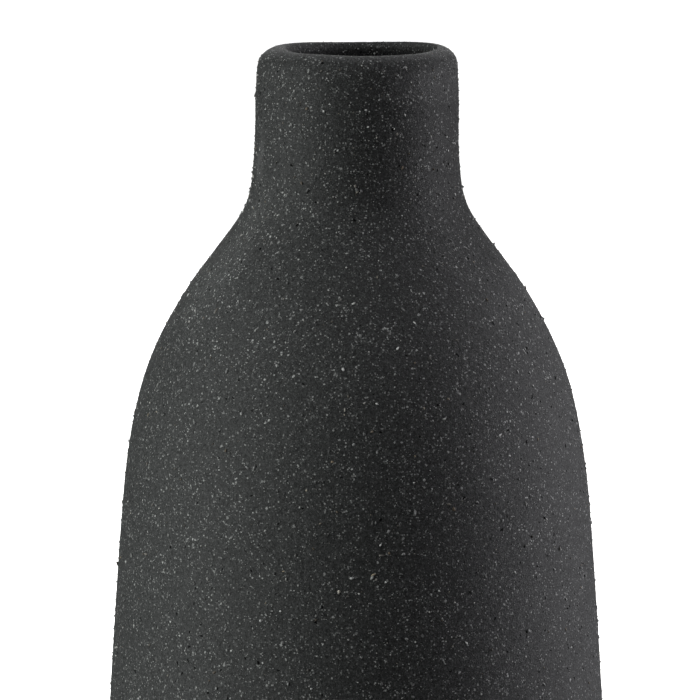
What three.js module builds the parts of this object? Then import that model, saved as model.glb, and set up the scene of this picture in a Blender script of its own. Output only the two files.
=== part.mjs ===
// Stoneware bottle vase: thick-walled body with a straight neck, glazed inside,
// standing on four felt pads stuck under its foot ring.
// Millimetres, +Z up, origin on the vase's axis at the surface it stands on.

import * as THREE from 'three';

// ---------------------------------------------------------------- dimensions
const HEIGHT = 260;            // table to the crest of the lip
const SEGMENTS = 40;           // facets round the body

const LIP_OUTER_R = 25.1;      // outside radius just under the lip
const LIP_INNER_R = 18.2;      // radius of the mouth
const LIP_OUTER_ROUND = 4.5;   // rounding of the lip's outer corner
const LIP_INNER_ROUND = 2.4;   // rounding of the lip's inner corner
const MOUTH_OFFSET = 1.4;      // the hand-finished mouth sits off the axis towards +X
const MOUTH_OFFSET_FADE = 34;  // depth below the crest where that offset has gone

const WALL = 6.0;              // wall of the body, square to the surface
const NECK_WALL = 7.0;         // wall of the neck

// Outside of the vase: depth below the crest, radius.
const OUTSIDE = [
  [4.9, 25.12], [14, 25.36], [23, 25.45], [30, 25.92], [35, 26.60], [39, 27.70],
  [43, 29.78], [48, 33.30], [53, 37.10], [58, 40.80], [63, 44.00], [69, 47.40],
  [76, 50.75], [84, 53.70], [93, 55.90], [103, 57.55], [115, 58.85], [130, 60.05],
  [146, 61.12], [163, 62.17], [180, 63.22], [196, 64.15], [210, 64.85], [222, 65.25],
];
// Base curve below that: height above the table, radius.
const BASE = [
  [30.0, 65.38], [23.0, 65.00], [16.5, 63.70], [11.0, 61.20], [6.8, 57.60],
  [4.2, 54.20], [2.9, 52.00],
];

const PAD_THICK = 2.0;         // felt pads
const PAD_R = 5.5;
const PAD_RING_R = 44;         // circle that the four pads sit on
const GAP = 0.3;               // room between pieces that lie against each other
const FOOT_Z = PAD_THICK + GAP;
const FOOT_OUTER_R = 51.0;     // flat of the foot ring
const FOOT_INNER_R = 37.0;
const RECESS_Z = 6.0;          // underside of the floor inside the foot ring
const RECESS_R = 34.5;

const FLOOR_Z = 13.5;          // inside of the floor, at the axis
// Inside corner between floor and wall: height above the table, radius.
const INSIDE_CORNER = [[14.0, 30.0], [15.4, 42.0], [18.6, 50.0], [24.0, 55.6], [31.0, 58.4]];

const GLAZE = 0.7;             // thickness of the liner glaze
const GLAZE_START = 9;         // depth below the crest where the glaze begins

// ------------------------------------------------------------------- profiles
const at = (r, z) => new THREE.Vector2(r, z);

// Points of the side, top down, that both the outside and the inside wall use.
const side = OUTSIDE.map(([depth, r]) => at(r, HEIGHT - depth));

// Direction square to a chain of points, towards the axis.
function inward(points, i) {
  const a = points[Math.max(0, i - 1)];
  const b = points[Math.min(points.length - 1, i + 1)];
  const t = b.clone().sub(a).normalize();
  const n = new THREE.Vector2(t.y, -t.x);
  return n.x > 0 ? n.negate() : n;
}

function insideWall() {
  const out = [];
  side.forEach((p, i) => {
    const depth = HEIGHT - p.y;
    if (depth < 14) return;
    const k = THREE.MathUtils.smoothstep(depth, 30, 95);
    const wall = THREE.MathUtils.lerp(NECK_WALL, WALL, k);
    const q = p.clone().addScaledVector(inward(side, i), wall);
    out.push(at(Math.max(q.x, LIP_INNER_R + 0.1), q.y));
  });
  return out;
}

// Lip: an arc rolled over from the outside, and a tighter one into the mouth.
function lipOuter() {
  const pts = [];
  for (let i = 0; i <= 5; i++) {
    const a = (i / 5) * Math.PI / 2;
    pts.push(at(LIP_OUTER_R - LIP_OUTER_ROUND * (1 - Math.cos(a)),
      HEIGHT - LIP_OUTER_ROUND * (1 - Math.sin(a))));
  }
  return pts;
}
function lipInner() {
  const pts = [];
  for (let i = 1; i <= 4; i++) {
    const a = (i / 4) * Math.PI / 2;
    pts.push(at(LIP_INNER_R + LIP_INNER_ROUND * (1 - Math.sin(a)),
      HEIGHT - LIP_INNER_ROUND * (1 - Math.cos(a))));
  }
  return pts;
}

const wallIn = insideWall();                               // top down
const corner = INSIDE_CORNER.map(([z, r]) => at(r, z));    // bottom up
// Inside surface, from the floor at the axis up to the mouth.
const inside = [at(0, FLOOR_Z), ...corner, ...wallIn.slice().reverse()];

const bodyProfile = [
  at(0, RECESS_Z), at(RECESS_R * 0.6, RECESS_Z), at(RECESS_R, RECESS_Z - 0.25),
  at(FOOT_INNER_R - 0.7, FOOT_Z + 0.9), at(FOOT_INNER_R, FOOT_Z),
  at(FOOT_OUTER_R, FOOT_Z),
  ...BASE.slice().reverse().map(([z, r]) => at(r, z)),
  ...side.slice().reverse(),
  ...lipOuter(),
  ...lipInner(),
  at(LIP_INNER_R, HEIGHT - 6),
  at(LIP_INNER_R + 0.02, HEIGHT - GLAZE_START + 1),
  ...inside.slice().reverse(),
];

// Liner glaze: lies GAP inside the clay, GLAZE thick, open at the mouth.
function glazeProfile() {
  const line = [...inside, at(LIP_INNER_R + 0.05, HEIGHT - GLAZE_START)];
  const off = (d) => line.map((p, i) => {
    if (i === 0) return at(0, p.y + d);
    const a = line[i - 1];
    const b = line[Math.min(line.length - 1, i + 1)];
    const t = b.clone().sub(a).normalize();
    return p.clone().add(at(-t.y, t.x).multiplyScalar(d));
  });
  const back = off(GAP);
  const face = off(GAP + GLAZE);
  return [...back, ...face.reverse()];
}

// --------------------------------------------------------------------- solids
// Turns a profile about +Z. Points that belong to the mouth are moved off the axis.
function turned(profile, segments, offsetMouth) {
  const g = new THREE.LatheGeometry(profile, segments);
  g.rotateX(Math.PI / 2);
  if (offsetMouth) {
    const pos = g.getAttribute('position');
    for (let i = 0; i < pos.count; i++) {
      const r = Math.hypot(pos.getX(i), pos.getY(i));
      const z = pos.getZ(i);
      const depth = HEIGHT - z;
      if (r > 26 || depth > MOUTH_OFFSET_FADE) continue;
      // Full offset on the inside, none on the outside of the neck.
      const across = 1 - THREE.MathUtils.smoothstep(r, LIP_INNER_R + LIP_INNER_ROUND, LIP_OUTER_R - 0.4);
      const down = 1 - THREE.MathUtils.smoothstep(depth, 8, MOUTH_OFFSET_FADE);
      pos.setX(i, pos.getX(i) + MOUTH_OFFSET * across * down);
    }
  }
  g.computeVertexNormals();
  return g;
}

function mesh(name, geometry, colour, roughness) {
  const m = new THREE.Mesh(geometry,
    new THREE.MeshStandardMaterial({ color: colour, roughness, metalness: 0 }));
  m.name = name;
  return m;
}

const vase = new THREE.Group();
vase.name = 'vase';

vase.add(mesh('stoneware_body', turned(bodyProfile, SEGMENTS, true), 0x2b2c2c, 0.8));
vase.add(mesh('liner_glaze', turned(glazeProfile(), SEGMENTS, true), 0x121314, 0.18));

// A felt pad: a disc with its edges eased.
function padGeometry() {
  const ease = 0.3;
  const p = [at(0, 0), at(PAD_R - ease, 0), at(PAD_R, ease), at(PAD_R, PAD_THICK - ease),
    at(PAD_R - ease, PAD_THICK), at(0, PAD_THICK)];
  return turned(p, 24, false);
}
for (let i = 0; i < 4; i++) {
  const a = THREE.MathUtils.degToRad(45 + 90 * i);
  const pad = mesh(`felt_pad_${i + 1}`, padGeometry(), 0x1c1a18, 0.95);
  pad.position.set(PAD_RING_R * Math.cos(a), PAD_RING_R * Math.sin(a), 0);
  vase.add(pad);
}

export default vase;
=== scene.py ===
import math

import bpy
import numpy as np
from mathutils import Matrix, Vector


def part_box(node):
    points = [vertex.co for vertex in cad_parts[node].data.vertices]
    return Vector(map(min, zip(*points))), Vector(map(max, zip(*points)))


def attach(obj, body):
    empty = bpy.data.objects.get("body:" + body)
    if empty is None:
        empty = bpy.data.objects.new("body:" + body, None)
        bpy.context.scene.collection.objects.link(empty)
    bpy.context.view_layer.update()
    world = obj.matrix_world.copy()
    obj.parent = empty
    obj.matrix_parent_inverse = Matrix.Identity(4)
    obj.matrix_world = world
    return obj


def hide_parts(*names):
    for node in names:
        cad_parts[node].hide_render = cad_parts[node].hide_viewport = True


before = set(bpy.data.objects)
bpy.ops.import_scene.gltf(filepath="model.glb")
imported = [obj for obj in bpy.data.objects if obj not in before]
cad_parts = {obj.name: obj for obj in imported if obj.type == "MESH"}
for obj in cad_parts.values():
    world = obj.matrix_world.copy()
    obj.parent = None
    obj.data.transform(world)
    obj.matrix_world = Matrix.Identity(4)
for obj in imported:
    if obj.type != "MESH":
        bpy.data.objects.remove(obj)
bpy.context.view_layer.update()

# ------------------------------------------------------------------ dimensions
# Millimetres here, metres in the meshes. The profile is the one the CAD body is turned from.
MM = 0.001
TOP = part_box("stoneware_body")[1].z / MM       # crest of the lip
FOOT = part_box("stoneware_body")[0].z / MM      # flat of the foot ring

LIP_OUTER_R = 25.1
LIP_INNER_R = 18.2
LIP_INNER_TALL = 3.2
MOUTH_OFFSET = 1.4
MOUTH_OFFSET_FADE = 34.0
WALL, NECK_WALL = 6.0, 7.0
OUTSIDE = [
    (4.9, 25.12), (9.6, 25.30), (14, 25.36), (19, 25.38), (23, 25.45), (26.5, 25.62), (30, 25.92),
    (33, 26.28), (36, 26.80), (39, 27.70), (43, 29.78), (48, 33.30), (53, 37.10), (58, 40.80),
    (63, 44.00), (69, 47.40), (76, 50.75), (84, 53.70), (93, 55.90), (103, 57.55), (115, 58.85),
    (130, 60.05), (146, 61.12), (163, 62.17), (180, 63.22), (196, 64.15), (210, 64.85), (222, 65.25),
]
BASE = [(30.0, 65.33), (23.0, 64.95), (16.5, 63.70), (11.0, 61.20), (6.8, 57.60), (4.2, 54.20), (2.9, 52.00)]
FOOT_OUTER_R, FOOT_INNER_R = 51.0, 37.0
RECESS_Z, RECESS_R = 6.0, 34.5
FLOOR_Z = 13.5
INSIDE_CORNER = [(14.0, 30.0), (15.4, 42.0), (18.6, 50.0), (24.0, 55.6), (31.0, 58.4)]
GAP, GLAZE, GLAZE_START = 0.3, 0.7, 9.0
PAD_R = 5.5

rng = np.random.default_rng(20261)


# ----------------------------------------------------------------------- tools
def smoothstep(x, a, b):
    t = np.clip((np.asarray(x, float) - a) / (b - a), 0, 1)
    return t * t * (3 - 2 * t)


def spline(x, y, q):
    """Natural cubic spline through (x, y), x rising, read at q."""
    x, y, q = (np.asarray(v, float) for v in (x, y, q))
    n = len(x)
    h = np.diff(x)
    a = np.zeros((n, n))
    b = np.zeros(n)
    a[0, 0] = a[-1, -1] = 1
    for i in range(1, n - 1):
        a[i, i - 1], a[i, i], a[i, i + 1] = h[i - 1], 2 * (h[i - 1] + h[i]), h[i]
        b[i] = 3 * ((y[i + 1] - y[i]) / h[i] - (y[i] - y[i - 1]) / h[i - 1])
    c = np.linalg.solve(a, b)
    bb = np.diff(y) / h - h * (2 * c[:-1] + c[1:]) / 3
    d = np.diff(c) / (3 * h)
    k = np.clip(np.searchsorted(x, q) - 1, 0, n - 2)
    t = q - x[k]
    return y[k] + bb[k] * t + c[k] * t * t + d[k] * t ** 3


def perlin(p, seed):
    """Gradient noise, about -0.7 to 0.7, at the rows of p."""
    r = np.random.default_rng(seed)
    perm = np.tile(r.permutation(256), 3)
    g = r.normal(size=(256, 3))
    g /= np.linalg.norm(g, axis=1)[:, None]
    i = np.floor(p).astype(np.int64)
    f = p - i
    i &= 255
    u = f * f * f * (f * (f * 6 - 15) + 10)
    out = np.zeros(len(p))
    for dx in (0, 1):
        for dy in (0, 1):
            for dz in (0, 1):
                h = perm[perm[perm[(i[:, 0] + dx) & 255] + ((i[:, 1] + dy) & 255)] + ((i[:, 2] + dz) & 255)]
                w = (u[:, 0] if dx else 1 - u[:, 0]) * (u[:, 1] if dy else 1 - u[:, 1]) * (u[:, 2] if dz else 1 - u[:, 2])
                out += w * (g[h] * (f - (dx, dy, dz))).sum(1)
    return out


def resample(points, step):
    """Points along a polyline of (r, z), spaced by step, keeping both ends."""
    points = np.asarray(points, float)
    s = np.concatenate([[0], np.cumsum(np.hypot(*np.diff(points, axis=0).T))])
    n = max(2, int(round(s[-1] / step)) + 1)
    q = np.linspace(0, s[-1], n)
    return np.column_stack([np.interp(q, s, points[:, 0]), np.interp(q, s, points[:, 1])])


def new_mesh(name, verts, quads=None, tris=None, uv_quads=None, uv_tris=None, smooth=True, attributes=None):
    """An object from arrays, vertices in millimetres."""
    me = bpy.data.meshes.new(name)
    verts = np.asarray(verts, np.float64) * MM
    me.vertices.add(len(verts))
    me.vertices.foreach_set("co", verts.astype(np.float32).ravel())
    loops, starts, uvs = [], [], []
    at = 0
    for faces, uv, k in ((quads, uv_quads, 4), (tris, uv_tris, 3)):
        if faces is None or not len(faces):
            continue
        faces = np.asarray(faces)
        loops.append(faces.ravel())
        starts.append(at + np.arange(len(faces)) * k)
        at += faces.size
        if uv is not None:
            uvs.append(np.asarray(uv, float).reshape(-1, 2))
    loops, starts = np.concatenate(loops), np.concatenate(starts)
    me.loops.add(len(loops))
    me.loops.foreach_set("vertex_index", loops.astype(np.int32))
    me.polygons.add(len(starts))
    me.polygons.foreach_set("loop_start", starts.astype(np.int32))
    me.update(calc_edges=True)
    if uvs:
        layer = me.uv_layers.new(name="OFBake")
        layer.data.foreach_set("uv", np.concatenate(uvs).astype(np.float32).ravel())
    for key, values in (attributes or {}).items():
        me.attributes.new(key, "FLOAT", "POINT").data.foreach_set("value", np.asarray(values, np.float32))
    me.polygons.foreach_set("use_smooth", np.full(len(starts), smooth))
    me.validate()
    me.update()
    ob = bpy.data.objects.new(name, me)
    bpy.context.scene.collection.objects.link(ob)
    return ob


# --------------------------------------------------------------------- profile
side_z = np.array([TOP - d for d, r in OUTSIDE] + [z for z, r in BASE])
side_r = np.array([r for d, r in OUTSIDE] + [r for z, r in BASE])
order = np.argsort(side_z)
side_z, side_r = side_z[order], side_r[order]


def side_curve(step):
    """The outside, from the foot ring up to just under the lip, as (r, z)."""
    s = np.concatenate([[0], np.cumsum(np.hypot(np.diff(side_r), np.diff(side_z)))])
    q = np.linspace(0, s[-1], max(2, int(round(s[-1] / step)) + 1))
    return np.column_stack([spline(s, side_r, q), spline(s, side_z, q)])


def normals_of(p):
    """Unit normals (r, z) of a profile that runs with the solid on its left."""
    t = np.gradient(p, axis=0)
    t /= np.maximum(np.hypot(*t.T), 1e-9)[:, None]
    return np.column_stack([t[:, 1], -t[:, 0]])


def inside_curve():
    """The inside wall, from the floor's axis up to the mouth."""
    side = side_curve(1.0)
    n = normals_of(side)
    depth = TOP - side[:, 1]
    wall = NECK_WALL + (WALL - NECK_WALL) * smoothstep(depth, 30, 95)
    q = side - n * wall[:, None]
    q[:, 0] = np.maximum(q[:, 0], LIP_INNER_R + 0.05)
    keep = (depth > 14) & (q[:, 1] > 34)
    q = q[keep]
    q = q[np.argsort(q[:, 1])]
    corner = np.array([(r, z) for z, r in INSIDE_CORNER])
    return np.vstack([[0, FLOOR_Z], corner, q, [LIP_INNER_R + 0.03, TOP - GLAZE_START], [LIP_INNER_R, TOP - 5.5]])


# ------------------------------------------------------------------------ body
COLS = 704


LIP_START = 7.2      # depth where the rows begin to follow the lip's own round
LIP_SIDE_R = 25.18


def lip_wide(phi):
    """How far in from the side the outer round of the lip reaches."""
    return 5.49 - 0.75 * np.cos(phi)


def lip_tall(phi):
    """How far down from the crest the outer round reaches."""
    return 5.39 - 0.39 * np.cos(phi)


def lip_wave(phi):
    """The crest is not quite level: a little higher at the two sides than at the front."""
    c, s = np.cos(phi), np.sin(phi)
    wave = 0.138 + 0.157 * s + 0.259 * np.cos(2 * phi) + 0.61 * s * c * c + 0.046 * c
    return wave + 0.20 * np.exp(-((phi - 4.22) / 0.36) ** 2) + 0.09 * np.exp(-((phi - 3.35) / 0.40) ** 2)


# Hand-made unevenness of the side, in mm: depth under the crest, left, right.
TRIM = np.array([(2, 0.0, 0.0), (4, -0.13, 0.0), (7, -0.09, 0.0), (11, 0.04, 0.10), (19, 0.08, 0.10), (26, 0.17, 0.08), (29.5, 0.15, 0.05), (34, 0.08, 0.06), (38.5, 0.08, 0.10),
                 (44, 0.15, 0.17), (49, 0.28, 0.18), (54, 0.22, 0.14), (61, 0.13, 0.11), (71, 0.18, 0.10), (79, 0.13, 0.16), (89, 0.03, 0.10),
                 (104, 0.04, 0.12), (124, 0.03, 0.14), (140, 0.06, 0.22), (150, 0.05, 0.31), (160, 0.05, 0.26), (180, 0.05, 0.15), (260, 0.0, 0.0)])


def build_body():
    """Rows of vertices from the underside's axis, out, up, over the lip and down inside to the floor's axis."""
    under = resample([(0.0, RECESS_Z), (RECESS_R * 0.6, RECESS_Z), (RECESS_R, RECESS_Z - 0.25)], 1.4)
    turn = resample([(RECESS_R, RECESS_Z - 0.25), (FOOT_INNER_R - 1.5, RECESS_Z - 1.0), (FOOT_INNER_R - 0.7, FOOT + 0.9),
                     (FOOT_INNER_R - 0.35, FOOT + 0.25), (FOOT_INNER_R + 0.1, FOOT)], 0.6)
    ring = resample([(FOOT_INNER_R + 0.1, FOOT), (FOOT_OUTER_R - 0.2, FOOT)], 0.9)
    low = resample([(FOOT_OUTER_R - 0.2, FOOT), (FOOT_OUTER_R + 0.5, FOOT + 0.18), (52.0, 2.9)], 0.5)
    side = side_curve(0.46)
    side = side[TOP - side[:, 1] > LIP_START]
    inside = inside_curve()[::-1]
    deep = TOP - 16.0
    neck_in = inside[inside[:, 1] >= deep]
    neck_in = resample(neck_in, 0.7)
    rest = np.vstack([neck_in[-1:], inside[inside[:, 1] < deep]])
    rest = resample(rest, 2.6)

    rows = []       # each: columns, r(phi), z(phi), nr, nz, fine (0..1 how much skin detail)

    def plain(pts, cols, fine):
        n = normals_of(pts)
        for (r, z), (nr, nz) in zip(pts, n):
            rows.append([cols, r, z, nr, nz, fine, None])

    plain(under[1:], 88, 0.6)
    plain(turn[1:], 352, 0.8)
    plain(ring[1:], 352, 0.8)
    plain(low[1:], COLS, 0.9)
    plain(side[1:], COLS, 1.0)
    for a in (0.2, 0.4, 0.6, 0.8):                            # from the side up to the round
        rows.append([COLS, None, None, 1.0, 0.0, 1.0, ("under", a)])
    for a in np.linspace(0, math.pi / 2, 21):                 # outer round of the lip
        rows.append([COLS, None, None, math.cos(a), math.sin(a), 1.0, ("outer", a)])
    for a in np.linspace(0, math.pi / 2, 13)[1:]:             # inner round
        rows.append([COLS, None, None, -math.sin(a), math.cos(a), 1.0, ("inner", a)])
    for a in (0.2, 0.4, 0.6, 0.8):                            # down to where the inside wall starts
        rows.append([COLS, None, None, -1.0, 0.0, 1.0, ("within", a)])
    plain(neck_in, COLS, 1.0)
    plain(rest[1:40], 352, 0.3)
    plain(rest[40:-1], 176, 0.2)

    verts, row_at, normal, info = [], [], [], []
    at = 0
    for cols, r, z, nr, nz, fine, lip in rows:
        phi = np.arange(cols) * 2 * math.pi / cols
        if lip is None:
            rr, zz = np.full(cols, r), np.full(cols, z)
        elif lip[0] == "under":
            zz = TOP - LIP_START + (LIP_START - lip_tall(phi) + lip_wave(phi)) * lip[1]
            rr = side[-1, 0] + (LIP_SIDE_R - side[-1, 0]) * lip[1]
        elif lip[0] == "outer":
            k = 2 / 2.087
            rr = LIP_SIDE_R - lip_wide(phi) * (1 - max(math.cos(lip[1]), 0.0) ** k)
            zz = TOP + lip_wave(phi) - lip_tall(phi) * (1 - math.sin(lip[1]) ** k)
        elif lip[0] == "inner":
            # from the end of the outer round into the hole
            wide = LIP_SIDE_R - lip_wide(phi) - LIP_INNER_R
            rr = LIP_INNER_R + wide * (1 - math.sin(lip[1]))
            zz = TOP + lip_wave(phi) - LIP_INNER_TALL * (1 - math.cos(lip[1]))
        else:
            top = TOP + lip_wave(phi) - LIP_INNER_TALL
            rr = np.full(cols, LIP_INNER_R)
            zz = top + (neck_in[0, 1] - top) * lip[1]
        # the mouth sits off the axis, and the neck leans a little the same way
        depth = TOP - zz
        if lip is None:
            hole = np.full(cols, 1.0 if nr < 0 else 0.0)
        else:
            hole = np.full(cols, {"under": 0.0, "outer": 0.0, "inner": math.sin(lip[1]), "within": 1.0}[lip[0]])
        down = 1 - smoothstep(depth, 8, MOUTH_OFFSET_FADE)
        lean = 0.33 * smoothstep(TOP - depth, TOP - 70, TOP - 10)
        cx = MOUTH_OFFSET * hole * down + (lean if (lip is not None or nr > 0) else lean)
        x, y = cx + rr * np.cos(phi), rr * np.sin(phi)
        verts.append(np.column_stack([x, y, zz]))
        normal.append(np.column_stack([nr * np.cos(phi), nr * np.sin(phi), np.full(cols, nz)]))
        info.append(np.full(cols, fine))
        row_at.append((at, cols))
        at += cols
    verts, normal, info = np.vstack(verts), np.vstack(normal), np.concatenate(info)
    normal /= np.linalg.norm(normal, axis=1)[:, None]

    # Skin: slow hand-made unevenness, a soft skin wave, and fine grit standing up from the clay.
    p = verts
    slow = (perlin(p / 46.0, 3) * 0.30 + perlin(p / 21.0, 4) * 0.10) * smoothstep(TOP - p[:, 2], 4.0, 14.0)
    across = p[:, 0] / np.maximum(np.hypot(p[:, 0], p[:, 1]), 1.0)
    left, right = (np.interp(TOP - p[:, 2], TRIM[:, 0], TRIM[:, k]) for k in (1, 2))
    slow = slow + np.where(normal[:, 0] * p[:, 0] + normal[:, 1] * p[:, 1] > 0, (left + right) / 2 + (right - left) / 2 * across, 0.0)
    rings = perlin(np.column_stack([p[:, 2] / 3.4, np.arctan2(p[:, 1], p[:, 0]) * 0.25, p[:, 0] * 0]), 5) * 0.020
    skin = perlin(p / 4.2, 6) * 0.035 + perlin(p / 2.1, 7) * 0.040
    grit = perlin(p / 1.15, 8) * 0.060
    lift = np.where(p[:, 2] < FOOT + 0.05, 0, slow) + rings + (skin + grit) * info
    lift = np.where(np.abs(p[:, 2] - FOOT) < 0.02, np.abs(lift) * 0.5, lift)
    down_face = normal[:, 2] < -0.5
    lift = np.where(down_face & (p[:, 2] < FOOT + 0.3), np.minimum(lift, 0.0), lift)   # the foot stays clear of the pads
    verts = verts + normal * lift[:, None]

    # Faces between rows; a row may have half the columns of the one before it, or a quarter, in steps.
    quads, tris, uvq, uvt = [], [], [], []
    length = np.zeros(len(rows))
    for i in range(1, len(rows)):
        a, b = verts[row_at[i - 1][0]], verts[row_at[i][0]]
        length[i] = length[i - 1] + np.linalg.norm(a - b)
    v_of = length / length[-1]
    # The texture gives the outside the most room: v is stretched by how much each part is seen.
    weight = np.array([1.0 if r[5] >= 0.9 else 0.35 for r in rows])
    dv = np.diff(length, prepend=0) * weight
    v_of = 0.004 + 0.992 * np.cumsum(dv) / dv.sum()
    for i in range(1, len(rows)):
        (a0, na), (b0, nb) = row_at[i - 1], row_at[i]
        va, vb = v_of[i - 1], v_of[i]
        if na == nb:
            j = np.arange(na)
            k = (j + 1) % na
            quads.append(np.column_stack([a0 + j, a0 + k, b0 + k, b0 + j]))
            u0, u1 = j / na, (j + 1) / na
            uvq.append(np.stack([np.column_stack([u0, np.full(na, va)]), np.column_stack([u1, np.full(na, va)]),
                                 np.column_stack([u1, np.full(na, vb)]), np.column_stack([u0, np.full(na, vb)])], 1))
        else:
            fine_first = na > nb
            f0, nf, vf = (a0, na, va) if fine_first else (b0, nb, vb)
            c0, nc, vc = (b0, nb, vb) if fine_first else (a0, na, va)
            ratio = nf // nc
            j = np.arange(nc)
            k = (j + 1) % nc
            for m in range(ratio):
                fa = f0 + (j * ratio + m) % nf
                fb = f0 + (j * ratio + m + 1) % nf
                c = c0 + (j if m < ratio / 2 else k)
                cu = (j if m < ratio / 2 else j + 1) / nc
                t = np.column_stack([fa, fb, c]) if fine_first else np.column_stack([fb, fa, c])
                ua = np.column_stack([(j * ratio + m) / nf, np.full(nc, vf)])
                ub = np.column_stack([(j * ratio + m + 1) / nf, np.full(nc, vf)])
                uc = np.column_stack([cu, np.full(nc, vc)])
                tris.append(t)
                uvt.append(np.stack([ua, ub, uc] if fine_first else [ub, ua, uc], 1))
            # the coarse edge itself
            mid = f0 + (j * ratio + ratio // 2) % nf
            t = np.column_stack([c0 + k, c0 + j, mid]) if fine_first else np.column_stack([c0 + j, c0 + k, mid])
            um = np.column_stack([(j * ratio + ratio // 2) / nf, np.full(nc, vf)])
            uj = np.column_stack([j / nc, np.full(nc, vc)])
            uk = np.column_stack([(j + 1) / nc, np.full(nc, vc)])
            tris.append(t)
            uvt.append(np.stack([uk, uj, um] if fine_first else [uj, uk, um], 1))
    # caps at the axis
    n_all = len(verts)
    verts = np.vstack([verts, [[0, 0, RECESS_Z]], [[0, 0, FLOOR_Z]]])
    for (s0, n), centre, first, v in ((row_at[0], n_all, True, 0.0), (row_at[-1], n_all + 1, False, 1.0)):
        j = np.arange(n)
        k = (j + 1) % n
        t = np.column_stack([np.full(n, centre), s0 + k, s0 + j]) if first else np.column_stack([s0 + j, s0 + k, np.full(n, centre)])
        ve = v_of[0] if first else v_of[-1]
        uj, uk = np.column_stack([j / n, np.full(n, ve)]), np.column_stack([(j + 1) / n, np.full(n, ve)])
        uc = np.column_stack([(j + 0.5) / n, np.full(n, v)])
        tris.append(t)
        uvt.append(np.stack([uc, uk, uj] if first else [uj, uk, uc], 1))
    quads, tris = np.vstack(quads), np.vstack(tris)
    ob = new_mesh("vase_body", verts, quads, tris, np.concatenate(uvq), np.concatenate(uvt))
    return ob, verts, rows, row_at


body, body_verts, body_rows, body_row_at = build_body()


# ---------------------------------------------------------------- grog grains
def scuffs(p):
    """Up to 1 on two short uneven lines down the side where more grog lies bare: partly a rubbed line, partly a
    highlight along the edge, which extra grains and a painted pale streak in the clay stand in for.
    """
    around, depth = np.arctan2(-p[:, 1], p[:, 0]) + perlin(p / 8.0, 77) * 0.05, TOP - p[:, 2]
    on = np.zeros(len(p))
    for d0, d1, a0, a1, wide in SCUFF_HIGHLIGHTS:
        at = a0 + (a1 - a0) * (depth - d0) / (d1 - d0)
        on = np.maximum(on, np.exp(-((around - at) / wide) ** 2) * smoothstep(depth, d0 - 3, d0 + 2) * (1 - smoothstep(depth, d1 - 2, d1 + 4)))
    return on * np.clip(0.55 + perlin(p / 3.6, 78) * 1.6, 0, 1)


# lines of paler clay, partly rubbed and partly a painted highlight, where more grog is also set
# depth from and to, place round the axis at each end, width
SCUFF_HIGHLIGHTS = ((98.0, 119.0, 0.23, 0.11, 0.022), (124.0, 156.0, 0.355, 0.340, 0.024))


def scatter(count, seed, patchy, body_share, z_low=FOOT + 1.0):
    """Points and normals on the outside, the lip and a little way into the mouth, even by area but for soft patches."""
    r = np.random.default_rng(seed)
    use = [i for i in range(1, len(body_rows))
           if body_row_at[i][1] == body_row_at[i - 1][1] and body_rows[i][5] >= 0.8
           and (body_rows[i][3] > -0.99 or body_verts[body_row_at[i][0]][2] > TOP - 15)]
    rowlen, rad = [], []
    for i in use:
        a, b = body_verts[body_row_at[i - 1][0]], body_verts[body_row_at[i][0]]
        rowlen.append(np.linalg.norm(a - b))
        rad.append(np.hypot(b[0], b[1]))
    w = np.array(rowlen) * np.array(rad)
    want = int(count * 1.9)
    pick = r.choice(len(use), want, p=w / w.sum())
    pts, nor = np.zeros((want, 3)), np.zeros((want, 3))
    s, t = r.random(want), r.random(want)
    for q in np.unique(pick):
        m = np.nonzero(pick == q)[0]
        i = use[q]
        (a0, n), (b0, _) = body_row_at[i - 1], body_row_at[i]
        j = r.integers(0, n, len(m))
        k = (j + 1) % n
        A, B, C, D = (body_verts[a0 + j], body_verts[a0 + k], body_verts[b0 + k], body_verts[b0 + j])
        ss, tt = s[m][:, None], t[m][:, None]
        pts[m] = (A * (1 - ss) + B * ss) * (1 - tt) + (D * (1 - ss) + C * ss) * tt
        nn = np.cross(C - A, D - B)
        nor[m] = nn / np.linalg.norm(nn, axis=1)[:, None]
    keep = pts[:, 2] > z_low
    chance = 0.5 + patchy * (perlin(pts / 9.0, seed + 1) * 1.1 + perlin(pts / 3.2, seed + 2) * 1.0)
    chance = chance * (body_share + (1 - body_share) * smoothstep(pts[:, 2], TOP - 58, TOP - 32))      # the neck is richer in grog
    chance = chance * (1 + 3.0 * scuffs(pts))
    keep &= r.random(want) < np.clip(chance, 0.03, 1)
    pts, nor = pts[keep][:count], nor[keep][:count]
    return pts, nor, r


OCTA = np.array([(1, 0, 0), (0, 1, 0), (-1, 0, 0), (0, -1, 0), (0, 0, 1), (0, 0, -1)], float)
OCTA_T = np.array([(0, 1, 4), (1, 2, 4), (2, 3, 4), (3, 0, 4), (1, 0, 5), (2, 1, 5), (3, 2, 5), (0, 3, 5)])


def divide(v, t):
    """Each triangle in four, new points pushed out to the sphere."""
    v = list(map(tuple, v))
    cache, out = {}, []

    def mid(a, b):
        key = (min(a, b), max(a, b))
        if key not in cache:
            m = (np.array(v[a]) + np.array(v[b])) / 2
            v.append(tuple(m / np.linalg.norm(m)))
            cache[key] = len(v) - 1
        return cache[key]

    for a, b, c in t:
        ab, bc, ca = mid(a, b), mid(b, c), mid(c, a)
        out += [(a, ab, ca), (ab, b, bc), (ca, bc, c), (ab, bc, ca)]
    return np.array(v), np.array(out)


BALL, BALL_T = divide(OCTA, OCTA_T)


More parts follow.
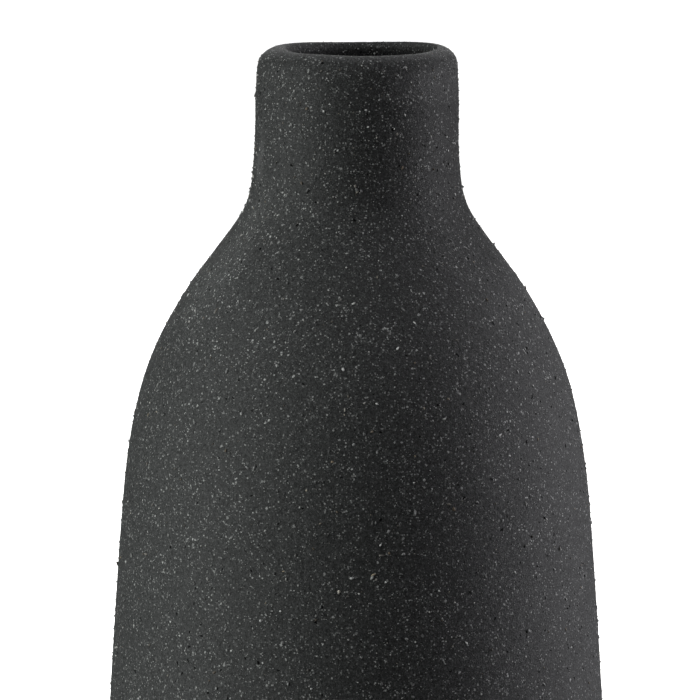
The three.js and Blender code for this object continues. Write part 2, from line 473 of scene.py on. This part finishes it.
def grains(name, count, seed, size, patchy, tone, warm, body_share, coarse=False, proud=(0.32, 0.78), stretch=0.7):
    """Small angular grains set into the surface, as one mesh of closed bodies. size: radii in mm; tone: brightness."""
    pts, nor, r = scatter(count, seed, patchy, body_share)
    n = len(pts)
    shape, faces = (BALL, BALL_T) if coarse else (OCTA, OCTA_T)
    rad = size(r, n) * (1 - 0.45 * smoothstep(pts[:, 2], TOP - 2.5, TOP - 0.5))      # only small ones on the rubbed crest
    up = nor
    ref = np.where(np.abs(up[:, 2:3]) < 0.9, np.array([[0, 0, 1.0]]), np.array([[1.0, 0, 0]]))
    e1 = np.cross(up, ref)
    e1 /= np.linalg.norm(e1, axis=1)[:, None]
    e2 = np.cross(up, e1)
    ang = r.uniform(0, 2 * math.pi, n)[:, None]
    f1, f2 = e1 * np.cos(ang) + e2 * np.sin(ang), -e1 * np.sin(ang) + e2 * np.cos(ang)
    tilt = r.normal(0, 0.36, (n, 1))
    f1, f3 = f1 * np.cos(tilt) + up * np.sin(tilt), up * np.cos(tilt) - f1 * np.sin(tilt)
    long = 1 + np.abs(r.normal(0, stretch, n))
    a, b = rad * np.sqrt(long), rad / np.sqrt(long)
    c = np.minimum(rad * r.uniform(0.60, 1.10, n), 0.30)
    k = len(shape)
    jit = 1 + r.normal(0, 0.28, (n, k)).clip(-0.6, 0.65)
    loc = shape[None] * jit[:, :, None]
    v = (pts - up * (c * (1 - r.uniform(*proud, n)) - c * 0.55)[:, None])[:, None, :] \
        + f1[:, None] * (loc[:, :, 0] * a[:, None])[..., None] \
        + f2[:, None] * (loc[:, :, 1] * b[:, None])[..., None] \
        + f3[:, None] * (loc[:, :, 2] * c[:, None])[..., None]
    base = (np.arange(n) * k)[:, None, None]
    t = (faces[None] + base).reshape(-1, 3)
    # every grain has a cell of its own in the texture
    g = int(math.ceil(math.sqrt(n)))
    cell = np.column_stack([np.arange(n) % g, np.arange(n) // g]) / g
    disc = shape[:, :2] * 0.30 + shape[:, 2:3] * 0.06 + 0.5
    uv = (cell[:, None, None, :] + disc[faces][None] / g).reshape(-1, 3, 2)
    tones = np.repeat(tone(r, n), k)
    warms = np.repeat(warm(r, n), k)
    # flip so that faces point out
    ob = new_mesh(name, v.reshape(-1, 3), None, t, None, uv, attributes={"tone": tones, "warm": warms})
    me = ob.data
    q = v[0][faces[0]]
    if np.dot(np.cross(q[1] - q[0], q[2] - q[0]), q.mean(0) - v[0].mean(0)) < 0:
        me.flip_normals()
    return ob


def tones(a, b, bright):
    """Tones from 0 to 1, mostly low, with a share of bright grains."""
    return lambda r, n: np.where(r.random(n) < bright, r.uniform(0.72, 1.0, n), r.beta(a, b, n))


def power(lo, hi, k):
    """Sizes from lo to hi, small ones the most common."""
    return lambda r, n: lo * (1 - r.random(n) * (1 - (lo / hi) ** k)) ** (-1 / k)


GRAINS = {
    "grog_fine_a": dict(count=22000, seed=11, size=power(0.12, 0.32, 2.8), patchy=0.42, tone=tones(1.2, 3.1, 0.055), warm=lambda r, n: r.normal(0.39, 0.17, n), body_share=0.35),
    "grog_fine_b": dict(count=22000, seed=21, size=power(0.11, 0.28, 2.8), patchy=0.42, tone=tones(1.2, 3.1, 0.055), warm=lambda r, n: r.normal(0.39, 0.17, n), body_share=0.35),
    "grog_fine_c": dict(count=22000, seed=61, size=power(0.09, 0.24, 2.8), patchy=0.42, tone=tones(1.3, 2.9, 0.08), warm=lambda r, n: r.normal(0.39, 0.17, n), body_share=0.35),
    "grog_bright": dict(count=4600, seed=71, size=power(0.15, 0.36, 2.9), patchy=0.30, tone=lambda r, n: r.uniform(0.72, 1.0, n), warm=lambda r, n: r.normal(0.35, 0.14, n), body_share=0.11),
    "grog_coarse": dict(count=2700, seed=31, size=power(0.23, 0.52, 3.0), patchy=0.42, tone=tones(1.7, 2.8, 0.075), warm=lambda r, n: r.normal(0.41, 0.19, n), body_share=0.95, coarse=True, stretch=1.15),
    "grog_tan": dict(count=170, seed=41, size=power(0.20, 0.42, 2.6), patchy=0.3, tone=lambda r, n: r.beta(3, 2.6, n), warm=lambda r, n: r.uniform(0.72, 1.0, n), body_share=0.62, coarse=True, stretch=1.0),
}
grain_obs = {}
for name, spec in GRAINS.items():
    grain_obs[name] = grains(name, **spec)


# ----------------------------------------------------------------- liner glaze
def build_glaze():
    line = inside_curve()
    line = line[line[:, 1] < TOP - GLAZE_START + 0.01]
    line = np.vstack([resample(line, 2.0)])
    t = np.gradient(line, axis=0)
    t /= np.hypot(*t.T)[:, None]
    n = np.column_stack([-t[:, 1], t[:, 0]])
    n[0] = (0, 1)
    back, face = line + n * GAP, line + n * (GAP + GLAZE)
    top = back[-1], face[-1]
    # the glaze ends in a soft bead
    mid = (back[-1] + face[-1]) / 2
    bead = []
    for a in np.linspace(0, math.pi, 9)[1:-1]:
        bead.append(mid + (back[-1] - mid) * math.cos(a) + np.array([0, 1.0]) * GLAZE / 2 * math.sin(a))
    prof = np.vstack([back, bead, face[::-1]])
    cols = 192
    phi = np.arange(cols) * 2 * math.pi / cols
    ring = prof[1:-1]
    verts = []
    for r, z in ring:
        depth = TOP - z
        cx = MOUTH_OFFSET * (1 - smoothstep(depth, 8, MOUTH_OFFSET_FADE)) + 0.33 * smoothstep(TOP - depth, TOP - 70, TOP - 10)
        zz = z + (0.35 * np.sin(2 * phi + 1) + 0.22 * np.sin(5 * phi)) * smoothstep(z, TOP - 16, TOP - 9)
        verts.append(np.column_stack([cx + r * np.cos(phi), r * np.sin(phi), zz]))
    m = len(ring)
    verts = np.vstack(verts + [[[0, 0, prof[0][1]]], [[0, 0, prof[-1][1]]]])
    j = np.arange(cols)
    k = (j + 1) % cols
    quads = np.vstack([np.column_stack([i * cols + j, i * cols + k, (i + 1) * cols + k, (i + 1) * cols + j]) for i in range(m - 1)])
    tris = np.vstack([np.column_stack([np.full(cols, m * cols), k, j]),
                      np.column_stack([(m - 1) * cols + j, (m - 1) * cols + k, np.full(cols, m * cols + 1)])])
    return new_mesh("inner_glaze", verts, quads, tris)


glaze = build_glaze()


# ------------------------------------------------------------------- felt pads
def build_pad(i):
    lo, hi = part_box(f"felt_pad_{i}")
    cx, cy = (lo.x + hi.x) / 2 / MM, (lo.y + hi.y) / 2 / MM
    z0, z1 = lo.z / MM, hi.z / MM
    prof = []
    prof += [(r, 0) for r in np.linspace(0, PAD_R - 0.45, 22)]
    prof += [(PAD_R - 0.45 + 0.45 * math.sin(a), 0.45 - 0.45 * math.cos(a)) for a in np.linspace(0, math.pi / 2, 5)[1:]]
    prof += [(PAD_R, z) for z in np.linspace(0.45, z1 - z0 - 0.25, 6)[1:]]
    prof += [(PAD_R - 0.25 + 0.25 * math.cos(a), z1 - z0 - 0.25 + 0.25 * math.sin(a)) for a in np.linspace(0, math.pi / 2, 4)[1:]]
    prof += [(r, z1 - z0) for r in np.linspace(PAD_R - 0.25, 0, 14)[1:]]
    prof = np.array(prof)
    cols = 128
    phi = np.arange(cols) * 2 * math.pi / cols
    ring = prof[1:-1]
    nn = normals_of(prof)[1:-1]
    verts, nor = [], []
    for (r, z), (nr, nz) in zip(ring, nn):
        verts.append(np.column_stack([r * np.cos(phi), r * np.sin(phi), np.full(cols, z)]))
        nor.append(np.column_stack([nr * np.cos(phi), nr * np.sin(phi), np.full(cols, nz)]))
    verts, nor = np.vstack(verts), np.vstack(nor)
    fuzz = perlin(verts / 0.55 + i * 7, 51) * 0.10 + perlin(verts / 1.6 + i * 9, 52) * 0.08
    verts = verts + nor * (np.minimum(fuzz, 0.03) - 0.03)[:, None]
    verts[:, 2] = np.clip(verts[:, 2], 0, z1 - z0)
    m = len(ring)
    verts = np.vstack([verts, [[0, 0, 0.0]], [[0, 0, z1 - z0 - 0.02]]]) + (cx, cy, z0)
    j = np.arange(cols)
    k = (j + 1) % cols
    quads = np.vstack([np.column_stack([q * cols + j, q * cols + k, (q + 1) * cols + k, (q + 1) * cols + j]) for q in range(m - 1)])
    tris = np.vstack([np.column_stack([np.full(cols, m * cols), k, j]),
                      np.column_stack([(m - 1) * cols + j, (m - 1) * cols + k, np.full(cols, m * cols + 1)])])
    return new_mesh(f"felt_disc_{i}", verts, quads, tris)


pads = [build_pad(i) for i in (1, 2, 3, 4)]


# ------------------------------------------------------------------- materials
class Tree:
    """A material's nodes, made with short calls."""

    def __init__(self, name):
        self.mat = bpy.data.materials.new(name)
        self.mat.use_nodes = True
        self.nt = self.mat.node_tree
        self.nt.nodes.clear()
        self.out = self.nt.nodes.new("ShaderNodeOutputMaterial")
        self.bsdf = self.nt.nodes.new("ShaderNodeBsdfPrincipled")
        self.nt.links.new(self.bsdf.outputs[0], self.out.inputs["Surface"])

    def node(self, kind, inputs=None, **props):
        n = self.nt.nodes.new("ShaderNode" + kind)
        for k, v in props.items():
            setattr(n, k, v)
        for k, v in (inputs or {}).items():
            self.put(n.inputs[k], v)
        return n

    def put(self, socket, v):
        if hasattr(v, "is_output") or isinstance(v, bpy.types.NodeSocket):
            self.nt.links.new(v, socket)
        else:
            socket.default_value = v

    def math(self, op, a, b=0.0, c=None, clamp=False):
        n = self.nt.nodes.new("ShaderNodeMath")
        n.operation, n.use_clamp = op, clamp
        self.put(n.inputs[0], a)
        self.put(n.inputs[1], b)
        if c is not None:
            self.put(n.inputs[2], c)
        return n.outputs[0]

    def noise(self, scale, detail=2.0, rough=0.5, w=None, vector=None, distortion=0.0):
        n = self.node("TexNoise", {"Scale": scale, "Detail": detail, "Roughness": rough, "Distortion": distortion})
        self.nt.links.new(vector if vector is not None else self.coords(), n.inputs["Vector"])
        return n.outputs["Fac"]

    def coords(self):
        if not hasattr(self, "_co"):
            self._co = self.node("TexCoord").outputs["Object"]
        return self._co

    def ramp(self, fac, stops, mode="LINEAR"):
        n = self.nt.nodes.new("ShaderNodeValToRGB")
        n.color_ramp.interpolation = mode
        el = n.color_ramp.elements
        while len(el) < len(stops):
            el.new(0.5)
        for e, (pos, col) in zip(el, stops):
            e.position = pos
            e.color = (*col, 1) if len(col) == 3 else col
        self.put(n.inputs[0], fac)
        return n.outputs["Color"]

    def mix(self, fac, a, b, kind="MIX"):
        n = self.nt.nodes.new("ShaderNodeMix")
        n.data_type, n.blend_type = "RGBA", kind
        self.put(n.inputs[0], fac)
        self.put(n.inputs[6], a if not isinstance(a, tuple) else (*a, 1))
        self.put(n.inputs[7], b if not isinstance(b, tuple) else (*b, 1))
        return n.outputs[2]

    def step(self, value, lo, hi, to_lo=0.0, to_hi=1.0):
        n = self.nt.nodes.new("ShaderNodeMapRange")
        n.interpolation_type = "SMOOTHSTEP"
        self.put(n.inputs["Value"], value)
        for k, v in (("From Min", lo), ("From Max", hi), ("To Min", to_lo), ("To Max", to_hi)):
            n.inputs[k].default_value = v
        return n.outputs["Result"]


def specks(t, scale, size, seed_shift, rnd=1.0, chance=1.0, wobble=0.35):
    """Uneven spots, one to a cell of a jittered grid: (mask, random value of the spot's cell). scale in cells per metre."""
    shift = t.node("VectorMath", {0: t.coords(), 1: (seed_shift, seed_shift * 0.7, -seed_shift)}, operation="ADD").outputs[0]
    if wobble:
        n = t.node("TexNoise", {"Vector": shift, "Scale": scale * 1.7, "Detail": 1.0}).outputs["Color"]
        n = t.node("VectorMath", {0: n, 1: (0.5, 0.5, 0.5)}, operation="SUBTRACT").outputs[0]
        n = t.node("VectorMath", {0: n, "Scale": 2.0 * wobble / scale}, operation="SCALE").outputs[0]
        shift = t.node("VectorMath", {0: shift, 1: n}, operation="ADD").outputs[0]
    v = t.node("TexVoronoi", {"Vector": shift, "Scale": scale, "Randomness": rnd}, feature="F1")
    sep = t.node("SeparateColor", {0: v.outputs["Color"]})
    here = t.math("LESS_THAN", sep.outputs[0], chance)
    grow = t.math("MULTIPLY_ADD", sep.outputs[1], size * 0.7, size * 0.55)
    edge = t.math("SUBTRACT", grow, v.outputs["Distance"])
    mask = t.step(edge, 0.0, size * 0.30)
    return t.math("MULTIPLY", mask, here), sep.outputs[2]


CLAY = dict(base=(0.0169, 0.0179, 0.0175), rough=0.74, spec=0.5)


def clay_material():
    t = Tree("speckled_stoneware")
    cloud = t.noise(26.0, 3.0, 0.55)                      # slow clouds, about 40 mm
    blotch = t.noise(95.0, 3.0, 0.6)                      # blotches of about 10 mm
    fine = t.noise(1500.0, 3.0, 0.65)                     # grain of the clay
    tiny = t.noise(3000.0, 2.0, 0.7)
    base = CLAY["base"]
    col = t.mix(t.step(cloud, 0.30, 0.72), tuple(c * 0.92 for c in base), (base[0] * 1.10, base[1] * 1.10, base[2] * 1.11))
    col = t.mix(t.math("MULTIPLY", t.step(blotch, 0.45, 0.80), 0.25), col, (base[0] * 1.6, base[1] * 1.6, base[2] * 1.61))
    # dark pores and gaps, partly the clay's own colour and partly painted shade in its tiny hollows, and a pale dust
    # between them, at the scale of the clay's own grain
    pore = t.step(tiny, 0.36, 0.50, 1.0, 0.0)
    col = t.mix(t.math("MULTIPLY", pore, 0.90), col, tuple(c * 0.20 for c in base))
    gap = t.step(t.noise(1250.0, 2.0, 0.6), 0.33, 0.48, 0.68, 0.0)
    col = t.mix(gap, col, tuple(c * 0.25 for c in base))
    col = t.mix(t.step(fine, 0.50, 0.74), col, tuple(c * 3.2 for c in base))
    # pale specks in the clay itself, from dust up to about half a millimetre
    dens = t.step(t.noise(150.0, 3.0, 0.6), 0.34, 0.64, 0.50, 1.0)
    # the crest of the lip is rubbed smoother: fewer specks in a narrow band just outside it
    place = t.node("SeparateXYZ", {0: t.coords()})
    height = place.outputs[2]
    crest = t.math("MULTIPLY", t.step(height, (TOP - 2.6) * MM, (TOP - 1.4) * MM), t.step(height, (TOP + 0.3) * MM, (TOP - 0.4) * MM, 1.0, 0.0))
    dens = t.math("MULTIPLY", dens, t.math("MULTIPLY_ADD", crest, -0.6, 1.0))
    # painted shade: the neck and lip are made a shade darker
    painted_shading = t.step(height, (TOP - 66) * MM, (TOP - 34) * MM, 1.0, 0.88)
    painted_shading = t.math("ADD", painted_shading, t.step(height, (TOP - 1.9) * MM, (TOP - 0.7) * MM, 0.0, 0.46))      # and a painted highlight along its crest
    # round the axis, 0 at +X and rising towards -Y: painted shade on the right side of the neck
    around = t.math("ARCTAN2", t.math("MULTIPLY", place.outputs[1], -1.0), place.outputs[0])
    dark = t.math("MULTIPLY", t.math("SUBTRACT", 1.0, t.step(around, 0.36, 0.80)), t.step(around, -0.9, -0.3))
    dark = t.math("MULTIPLY", dark, t.math("MULTIPLY", t.step(height, (TOP - 62) * MM, (TOP - 48) * MM), t.step(height, (TOP - 17) * MM, (TOP - 7) * MM, 1.0, 0.0)))
    painted_shading = t.math("MULTIPLY", painted_shading, t.math("MULTIPLY_ADD", dark, -0.29, 1.0))
    # a painted highlight on the left of the shoulder, near its edge; and paler under the lip on the right
    pale = t.math("MULTIPLY", t.step(t.math("ABSOLUTE", t.math("SUBTRACT", around, 2.67)), 0.05, 0.33, 1.0, 0.0),
                  t.math("MULTIPLY", t.step(height, (TOP - 76) * MM, (TOP - 53) * MM), t.step(height, (TOP - 46) * MM, (TOP - 30) * MM, 1.0, 0.0)))
    under = t.math("MULTIPLY", t.math("MULTIPLY", t.step(around, 0.50, 0.78), t.step(around, 1.10, 1.45, 1.0, 0.0)),
                   t.math("MULTIPLY", t.step(height, (TOP - 14) * MM, (TOP - 8.5) * MM), t.step(height, (TOP - 5.5) * MM, (TOP - 3.0) * MM, 1.0, 0.0)))
    both = t.math("MULTIPLY_ADD", t.math("MULTIPLY", pale, t.step(blotch, 0.25, 0.60, 0.55, 1.0)), 0.50, t.math("MULTIPLY", under, 0.33))
    painted_shading = t.math("MULTIPLY", painted_shading, t.math("ADD", both, 1.0))
    every = None
    for scale, size, shift, chance, lo, mid, hi in (
            (2700.0, 0.53, 0.271, 0.42, 0.033, 0.080, 0.47),
            (1700.0, 0.46, 0.013, 0.31, 0.033, 0.080, 0.48),
            (1050.0, 0.36, 0.141, 0.20, 0.033, 0.070, 0.36)):
        m, r = specks(t, scale, size, shift, chance=chance, wobble=0.35 if scale > 2000 else 0.52)
        pale = t.ramp(r, [(0.0, (lo, lo * 1.02, lo * 1.01)), (0.72, (mid, mid * 1.03, mid * 1.02)), (1.0, (hi, hi * 1.02, hi * 0.99))])
        m = t.math("MULTIPLY", m, dens)
        col = t.mix(m, col, pale)
        every = m if every is None else t.math("MAXIMUM", every, m)
    # two pale places: a painted highlight low on the left edge of the neck, and a broken streak down the belly on the
    # right, partly a rubbed line and partly a painted highlight along the edge
    broken = t.step(t.noise(520.0, 3.0, 0.7), 0.46, 0.68)
    soft = t.step(t.noise(300.0, 3.0, 0.6), 0.28, 0.56)
    wander = t.math("MULTIPLY_ADD", t.noise(120.0, 2.0, 0.6), 0.10, t.math("ADD", around, -0.05))
    # the streak's pale colour: partly a rubbed line, partly a painted highlight
    for d0, d1, a0, a1, wide in SCUFF_HIGHLIGHTS:
        turn = (a1 - a0) / ((d1 - d0) * MM)
        at = t.math("MULTIPLY_ADD", height, -turn, a0 + turn * (TOP - d0) * MM)
        line = t.step(t.math("ABSOLUTE", t.math("SUBTRACT", wander, at)), 0.0, wide * 1.5, 1.0, 0.0)
        line = t.math("MULTIPLY", line, t.math("MULTIPLY", t.step(height, (TOP - d1 - 4) * MM, (TOP - d1 + 2) * MM), t.step(height, (TOP - d0 - 2) * MM, (TOP - d0 + 3) * MM, 1.0, 0.0)))
        col = t.mix(t.math("MULTIPLY", t.math("MULTIPLY", line, broken), 0.38), col, (0.085, 0.086, 0.087))
    # painted highlight low on the left edge of the neck
    painted_edge_highlight = t.step(t.math("ABSOLUTE", t.math("SUBTRACT", around, math.pi - 0.37)), 0.02, 0.13, 1.0, 0.0)
    painted_edge_highlight = t.math("MULTIPLY", painted_edge_highlight, t.math("MULTIPLY", t.step(height, (TOP - 34) * MM, (TOP - 29) * MM), t.step(height, (TOP - 26) * MM, (TOP - 15) * MM, 1.0, 0.0)))
    col = t.mix(t.math("MULTIPLY", t.math("MULTIPLY", painted_edge_highlight, soft), 0.72), col, (0.078, 0.079, 0.079))
    # small pits, darkened as painted shade
    pit, _ = specks(t, 640.0, 0.23, 0.377, chance=0.10)
    col = t.mix(pit, col, (0.003, 0.003, 0.003))
    # the painted shade and highlights above multiply the clay's colour
    shade = t.node("CombineColor", {0: painted_shading, 1: painted_shading, 2: painted_shading}).outputs[0]
    col = t.mix(1.0, col, shade, "MULTIPLY")
    t.nt.links.new(col, t.bsdf.inputs["Base Color"])
    rough = t.math("MULTIPLY_ADD", t.math("SUBTRACT", fine, 0.5), 0.22, CLAY["rough"])
    rough = t.math("MULTIPLY_ADD", t.math("SUBTRACT", blotch, 0.5), 0.10, rough, clamp=True)
    t.nt.links.new(rough, t.bsdf.inputs["Roughness"])
    # less specular in pores, gaps and pits, painted shade of their reflections; the painted shading scales it as well
    hollow = t.math("MAXIMUM", t.math("MAXIMUM", t.math("MULTIPLY", pore, 0.40), t.math("MULTIPLY", gap, 0.55)), t.math("MULTIPLY", pit, 0.9))
    level = t.math("MULTIPLY", t.math("MULTIPLY_ADD", hollow, -CLAY["spec"], CLAY["spec"]), painted_shading)
    t.nt.links.new(level, t.bsdf.inputs["Specular IOR Level"])
    h = t.math("MULTIPLY_ADD", t.noise(700.0, 2.0, 0.6), 0.5, t.math("MULTIPLY", fine, 0.8))
    h = t.math("MULTIPLY_ADD", tiny, 0.55, h)
    h = t.math("MULTIPLY_ADD", every, 0.30, h)
    h = t.math("MULTIPLY_ADD", pit, -0.9, h)
    bump = t.node("Bump", {"Strength": 0.66, "Distance": 0.00020, "Height": h})
    t.nt.links.new(bump.outputs[0], t.bsdf.inputs["Normal"])
    return t.mat


def grog_material():
    t = Tree("grog_grain")
    tone = t.node("Attribute", attribute_name="tone").outputs["Fac"]
    warm = t.node("Attribute", attribute_name="warm").outputs["Fac"]
    cool = t.ramp(tone, [(0.0, (0.040, 0.0415, 0.041)), (0.35, (0.115, 0.119, 0.117)), (0.7, (0.30, 0.307, 0.300)), (1.0, (0.82, 0.826, 0.805))])
    tan = t.ramp(tone, [(0.0, (0.060, 0.045, 0.030)), (0.5, (0.19, 0.145, 0.090)), (1.0, (0.46, 0.39, 0.27))])
    col = t.mix(t.step(warm, 0.45, 0.95), cool, tan)
    vary = t.noise(2600.0, 2.0, 0.6)
    col = t.mix(t.step(vary, 0.35, 0.75, 0.0, 0.35), col, (0.05, 0.05, 0.049))
    t.nt.links.new(col, t.bsdf.inputs["Base Color"])
    t.nt.links.new(t.math("MULTIPLY_ADD", vary, 0.2, 0.48), t.bsdf.inputs["Roughness"])
    t.bsdf.inputs["Specular IOR Level"].default_value = 0.5
    return t.mat


def glaze_material():
    t = Tree("black_liner_glaze")
    cloud = t.noise(60.0, 3.0, 0.55)
    col = t.ramp(cloud, [(0.3, (0.004, 0.004, 0.0045)), (0.75, (0.011, 0.011, 0.012))])
    t.nt.links.new(col, t.bsdf.inputs["Base Color"])
    t.nt.links.new(t.math("MULTIPLY_ADD", cloud, 0.12, 0.10), t.bsdf.inputs["Roughness"])
    h = t.math("MULTIPLY_ADD", t.noise(220.0, 2.0, 0.5), 0.6, t.math("MULTIPLY", t.noise(900.0), 0.08))
    bump = t.node("Bump", {"Strength": 0.25, "Distance": 0.0004, "Height": h})
    t.nt.links.new(bump.outputs[0], t.bsdf.inputs["Normal"])
    return t.mat


def felt_material():
    t = Tree("pressed_felt")
    fibre = t.noise(1700.0, 4.0, 0.7, distortion=2.5)
    coarse = t.noise(500.0, 3.0, 0.6, distortion=1.0)
    col = t.ramp(fibre, [(0.30, (0.010, 0.0095, 0.009)), (0.55, (0.026, 0.025, 0.024)), (0.80, (0.075, 0.072, 0.068))])
    col = t.mix(t.step(coarse, 0.4, 0.7, 0.0, 0.4), col, (0.045, 0.043, 0.041))
    t.nt.links.new(col, t.bsdf.inputs["Base Color"])
    t.nt.links.new(t.math("MULTIPLY_ADD", fibre, 0.1, 0.88), t.bsdf.inputs["Roughness"])
    t.bsdf.inputs["Specular IOR Level"].default_value = 0.2
    t.bsdf.inputs["Sheen Weight"].default_value = 0.35
    t.bsdf.inputs["Sheen Roughness"].default_value = 0.5
    h = t.math("MULTIPLY_ADD", coarse, 0.5, fibre)
    bump = t.node("Bump", {"Strength": 0.8, "Distance": 0.00025, "Height": h})
    t.nt.links.new(bump.outputs[0], t.bsdf.inputs["Normal"])
    return t.mat


clay, grog, gloss, felt = clay_material(), grog_material(), glaze_material(), felt_material()
body.data.materials.append(clay)
for ob in grain_obs.values():
    ob.data.materials.append(grog)
glaze.data.materials.append(gloss)
for ob in pads:
    ob.data.materials.append(felt)

# ------------------------------------------------------------------------ ride
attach(body, "root"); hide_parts("stoneware_body")
for ob in grain_obs.values():
    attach(ob, "root")
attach(glaze, "root"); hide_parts("liner_glaze")
for i, ob in enumerate(pads, 1):
    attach(ob, "root"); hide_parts(f"felt_pad_{i}")

# ----------------------------------------------------------------------- stage
def stage_material():
    t = Tree("studio_floor")
    n = t.noise(3.0, 2.0, 0.5)
    col = t.ramp(n, [(0.3, (0.80, 0.80, 0.80)), (0.7, (0.83, 0.83, 0.83))])
    t.nt.links.new(col, t.bsdf.inputs["Base Color"])
    t.bsdf.inputs["Roughness"].default_value = 0.9
    t.bsdf.inputs["Specular IOR Level"].default_value = 0.1
    return t.mat


def build_floor():
    v = np.array([(-30000, -30000, 0), (30000, -30000, 0), (30000, 30000, 0), (-30000, 30000, 0)], float)
    ob = new_mesh("floor", v, [[0, 1, 2, 3]])
    ob.data.materials.append(stage_material())
    ob.visible_diffuse = ob.visible_glossy = False      # it shows the vase's shadow but doesn't brighten the clay
    return ob


floor = build_floor()

world = bpy.data.worlds.new("studio")
bpy.context.scene.world = world
world.use_nodes = True
bg = world.node_tree.nodes["Background"]
bg.inputs[0].default_value = (1, 1, 1, 1)
bg.inputs[1].default_value = 1.0
world.cycles_visibility.diffuse = False
world.cycles_visibility.glossy = False


def softbox(name, azimuth, elevation, distance, size, radiance, aim=(0, 0, 0.16), spread=180.0, colour=(1, 1, 1)):
    """A rectangular light. Azimuth 0 is the camera's side, 90 the right; radiance is the panel's own brightness."""
    a, e = math.radians(azimuth), math.radians(elevation)
    at = np.array(aim) + distance * np.array([math.sin(a) * math.cos(e), -math.cos(a) * math.cos(e), math.sin(e)])
    data = bpy.data.lights.new(name, "AREA")
    data.shape = "RECTANGLE"
    data.size, data.size_y = size
    data.energy = radiance * size[0] * size[1] * math.pi
    data.color = colour
    data.spread = math.radians(spread)
    ob = bpy.data.objects.new(name, data)
    ob.location = at
    from mathutils import Vector
    ob.rotation_mode = "QUATERNION"
    ob.rotation_quaternion = (Vector(aim) - Vector(at)).to_track_quat("-Z", "Y")
    ob.visible_camera = False
    bpy.context.scene.collection.objects.link(ob)
    return ob


LEFT, RIGHT = (0.972, 1.0, 0.985), (0.985, 0.970, 1.012)
LIGHTS = [   # azimuth, elevation, distance, size, radiance, tint, height aimed at
    ("left_a", -90, 0.8, 1.5, (0.52, 0.355), 6.5, LEFT, 0.16),
    ("left_b", -70, 0.8, 1.5, (0.52, 0.355), 21.5, LEFT, 0.16),
    ("left_c", -50, 0.8, 1.5, (0.52, 0.355), 7.0, LEFT, 0.16),
    ("left_high", -90, 40, 1.5, (0.52, 0.65), 6.6, LEFT, 0.16),
    ("right_a", 90, -1.9, 0.8, (0.277, 0.268), 7.0, RIGHT, 0.16),
    ("right_b", 110, -1.9, 0.8, (0.277, 0.268), 9.4, RIGHT, 0.16),
    ("right_c", 90, 20, 1.5, (0.52, 0.65), 4.2, RIGHT, 0.16),
    ("right_high", 60, 58, 1.5, (0.52, 0.65), 4.7, RIGHT, 0.16),
    ("right_rear", 130, 40, 1.5, (0.52, 0.65), 1.8, RIGHT, 0.16),
    ("rear_high", 160, 40, 1.5, (0.52, 0.65), 1.65, (1, 1, 1), 0.16),
    ("rear", 180, 14, 1.8, (0.9, 0.9), 3.1, (1, 1, 1), 0.16),
    ("top", 0, 88, 1.6, (0.80, 0.80), 0.3, (1, 1, 1), 0.16),
]
for name, az, el, dist, size, radiance, colour, height in LIGHTS:
    softbox(name, az, el, dist, size, radiance, aim=(0, 0, height), colour=colour)


def floor_wash(strength):
    """A wide overhead light that reaches only the floor, so that the floor stays pale and even."""
    data = bpy.data.lights.new("floor_wash", "SUN")
    data.energy, data.angle = strength, math.radians(100)
    ob = bpy.data.objects.new("floor_wash", data)
    ob.location = (0, 0, 3)
    bpy.context.scene.collection.objects.link(ob)
    only = bpy.data.collections.new("lit_by_floor_wash")
    only.objects.link(floor)
    ob.light_linking.receiver_collection = only
    return ob


floor_wash(4.6)

# ---------------------------------------------------------------------- camera
cam_data = bpy.data.cameras.new("camera")
cam = bpy.data.objects.new("camera", cam_data)
bpy.context.scene.collection.objects.link(cam)
cam_data.sensor_width = 36.0
cam_data.lens = 288.55
cam_data.clip_start, cam_data.clip_end = 0.05, 100.0
cam.location = (-0.001475, -1.40, TOP * MM + 0.1151)
cam.rotation_euler = (math.radians(90 - 7.776), 0, 0)
bpy.context.scene.camera = cam

scene = bpy.context.scene
scene.view_settings.view_transform = "Standard"
scene.view_settings.look = "None"
scene.view_settings.exposure = 0.0
scene.view_settings.gamma = 1.0
